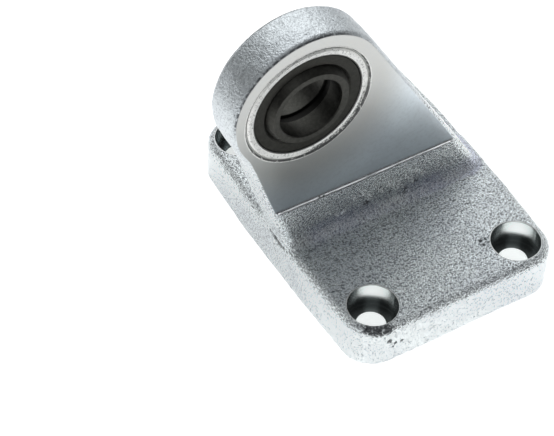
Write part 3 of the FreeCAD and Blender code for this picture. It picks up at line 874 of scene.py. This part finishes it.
def cast_bracket(look):
    """The bracket with the uneven skin, pits and raised marks of a real casting, as its own mesh."""
    points, corners, normals, machined = cut_skin(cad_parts["bracket"])
    cast = ~machined
    touches_machined = numpy.zeros(len(points), dtype=bool)
    touches_machined[corners[machined].reshape(-1)] = True
    touches_cast = numpy.zeros(len(points), dtype=bool)
    touches_cast[corners[cast].reshape(-1)] = True
    skin = vertex_normals(points, corners, cast.astype(float))
    height = numpy.zeros(len(points))
    height[touches_cast] = cast_waves(points[touches_cast])
    painted_shade_and_highlight = mark_skin(points, height)
    shift = skin * height[:, None] * touches_cast[:, None]
    off_middle = numpy.abs(points[:, 1])
    on_rim = touches_cast & (off_middle < WEB_FACE + AT_FACE)
    run_in = numpy.clip((points[:, 2] - LEDGE_HEIGHT - RIM_START) / RIM_RUN_IN, 0.0, 1.0)
    sideways = unit(skin * (1.0, 0.0, 1.0))
    shift -= sideways * (rim_inset(off_middle) * run_in * on_rim)[:, None]
    hold_machined(points, shift, touches_machined)
    lean_ledge(points, shift, skin)
    points = points + shift
    change = vertex_normals(points, corners, cast.astype(float)) - skin
    normals[cast] = unit(normals[cast] + change[corners[cast]])

    mesh = bpy.data.meshes.new("cast_bracket")
    mesh.from_pydata((points * MM).tolist(), [], corners.tolist())
    mesh.polygons.foreach_set("use_smooth", numpy.ones(len(corners), dtype=bool))
    mesh.normals_split_custom_set(normals.reshape(-1, 3).tolist())
    # The painted shade and highlight, read by the zinc shader.
    stored = mesh.attributes.new("painted_shade_and_highlight", "FLOAT", "POINT")
    stored.data.foreach_set("value", painted_shade_and_highlight)
    mesh.materials.append(look)
    piece = bpy.data.objects.new("cast_bracket", mesh)
    bpy.context.scene.collection.objects.link(piece)
    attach(piece, "housing")
    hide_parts("bracket")


def dress_block():
    zinc = ZincCasting().finished()
    cast_bracket(zinc)
    looks = {
        "bracket": zinc,
        "outer_ring": dark_steel("phosphated_steel", OUTER_RING_COLOUR, OUTER_RING_POLISH),
        "inner_ring": dark_steel("phosphated_ball_steel", INNER_RING_COLOUR, INNER_RING_POLISH),
    }
    for node, look in looks.items():
        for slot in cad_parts[node].material_slots:
            slot.material = look


def pale_floor():
    """A white floor that keeps the block's soft shadow."""
    shader = Shader("pale_floor")
    paper = shader.node("ShaderNodeBsdfDiffuse")
    tone = shader.noise(shader.place, *FLOOR_NOISE)
    shader.feed(paper.inputs["Color"], shader.mix(tone, *FLOOR_GREYS))
    path = shader.node("ShaderNodeLightPath")
    away = shader.distance_to(shader.place, (0.0, 0.0, 0.0), shader.LEVEL)
    beside = shader.distance_to(shader.place, FLOOR_DIP_CENTRE, shader.LEVEL)
    near = shader.product(shader.range(away, *FLOOR_FALL_OFF), shader.range(beside, *FLOOR_DIP))
    mirrored = shader.product(path.outputs["Is Glossy Ray"], near)
    seen = shader.largest(path.outputs["Is Camera Ray"], mirrored, path.outputs["Is Transmission Ray"])
    glow = shader.node("ShaderNodeEmission")
    shader.feed(glow.inputs["Strength"], shader.math("MULTIPLY", seen, FLOOR_LIFT))
    both = shader.node("ShaderNodeAddShader")
    shader.feed(both.inputs[0], paper.outputs[0])
    shader.feed(both.inputs[1], glow.outputs[0])
    shader.feed(shader.output.inputs["Surface"], both.outputs[0])
    mesh = bpy.data.meshes.new("floor")
    half = FLOOR_HALF_WIDTH
    corners = [(-half, -half, 0.0), (half, -half, 0.0), (half, half, 0.0), (-half, half, 0.0)]
    mesh.from_pydata(corners, [], [(0, 1, 2, 3)])
    mesh.materials.append(shader.material)
    floor = bpy.data.objects.new("floor", mesh)
    floor.location.z = -FLOOR_DROP
    bpy.context.scene.collection.objects.link(floor)


def studio_world():
    """A grey studio with three soft glows, which the camera itself sees as white."""
    world = bpy.data.worlds.new("studio")
    world.use_nodes = True
    bpy.context.scene.world = world
    nodes = Nodes(world.node_tree, "ShaderNodeOutputWorld")
    direction = nodes.node("ShaderNodeTexCoord").outputs["Generated"]
    level = SKY_LEVEL
    for towards, low, high, strength in SKY_GLOWS:
        dot = nodes.vector("DOT_PRODUCT", direction, Vector(towards).normalized(), out="Value")
        glow = nodes.node("ShaderNodeMapRange", interpolation_type="SMOOTHSTEP")
        nodes.feed(glow.inputs["Value"], dot)
        glow.inputs["From Min"].default_value = low
        glow.inputs["From Max"].default_value = high
        glow.inputs["To Max"].default_value = strength
        level = nodes.math("ADD", glow.outputs[0], level)
    sky = nodes.node("ShaderNodeBackground")
    sky.inputs["Color"].default_value = SKY_COLOUR
    nodes.feed(sky.inputs["Strength"], level)
    white = nodes.node("ShaderNodeBackground")
    white.inputs["Color"].default_value = rgb(1.0, 1.0, 1.0)
    white.inputs["Strength"].default_value = 1.0
    pick = nodes.node("ShaderNodeMixShader")
    nodes.feed(pick.inputs[0], nodes.node("ShaderNodeLightPath").outputs["Is Camera Ray"])
    nodes.feed(pick.inputs[1], sky.outputs[0])
    nodes.feed(pick.inputs[2], white.outputs[0])
    nodes.feed(nodes.output.inputs["Surface"], pick.outputs[0])


def key_lamp():
    lamp = bpy.data.lights.new("key_lamp", "AREA")
    lamp.shape = "DISK"
    lamp.size = KEY_LAMP_SIZE
    lamp.energy = KEY_LAMP_POWER
    made = bpy.data.objects.new("key_lamp", lamp)
    made.location = KEY_LAMP_PLACE
    towards = Vector(KEY_LAMP_AIM) - Vector(KEY_LAMP_PLACE)
    made.rotation_euler = towards.to_track_quat("-Z", "Y").to_euler()
    bpy.context.scene.collection.objects.link(made)


def fitted_camera():
    azimuth = math.radians(CAMERA_AZIMUTH)
    elevation = math.radians(CAMERA_ELEVATION)
    roll = math.radians(CAMERA_ROLL)
    back = Vector((math.sin(azimuth) * math.cos(elevation),
                   -math.cos(azimuth) * math.cos(elevation),
                   math.sin(elevation)))
    level_right = Vector((math.cos(azimuth), math.sin(azimuth), 0.0))
    level_up = back.cross(level_right)
    right = math.cos(roll) * level_right + math.sin(roll) * level_up
    up = -math.sin(roll) * level_right + math.cos(roll) * level_up
    camera = bpy.data.cameras.new("camera")
    camera.lens = CAMERA_LENS
    camera.sensor_width = SENSOR_WIDTH
    camera.clip_start, camera.clip_end = CAMERA_CLIP
    made = bpy.data.objects.new("camera", camera)
    turn = Matrix((right, up, back)).transposed().to_4x4()
    made.matrix_world = Matrix.Translation(CAMERA_CENTRE) @ turn
    bpy.context.scene.collection.objects.link(made)
    bpy.context.scene.camera = made


dress_block()
pale_floor()
studio_world()
key_lamp()
fitted_camera()
bpy.context.scene.view_settings.view_transform = "Standard"
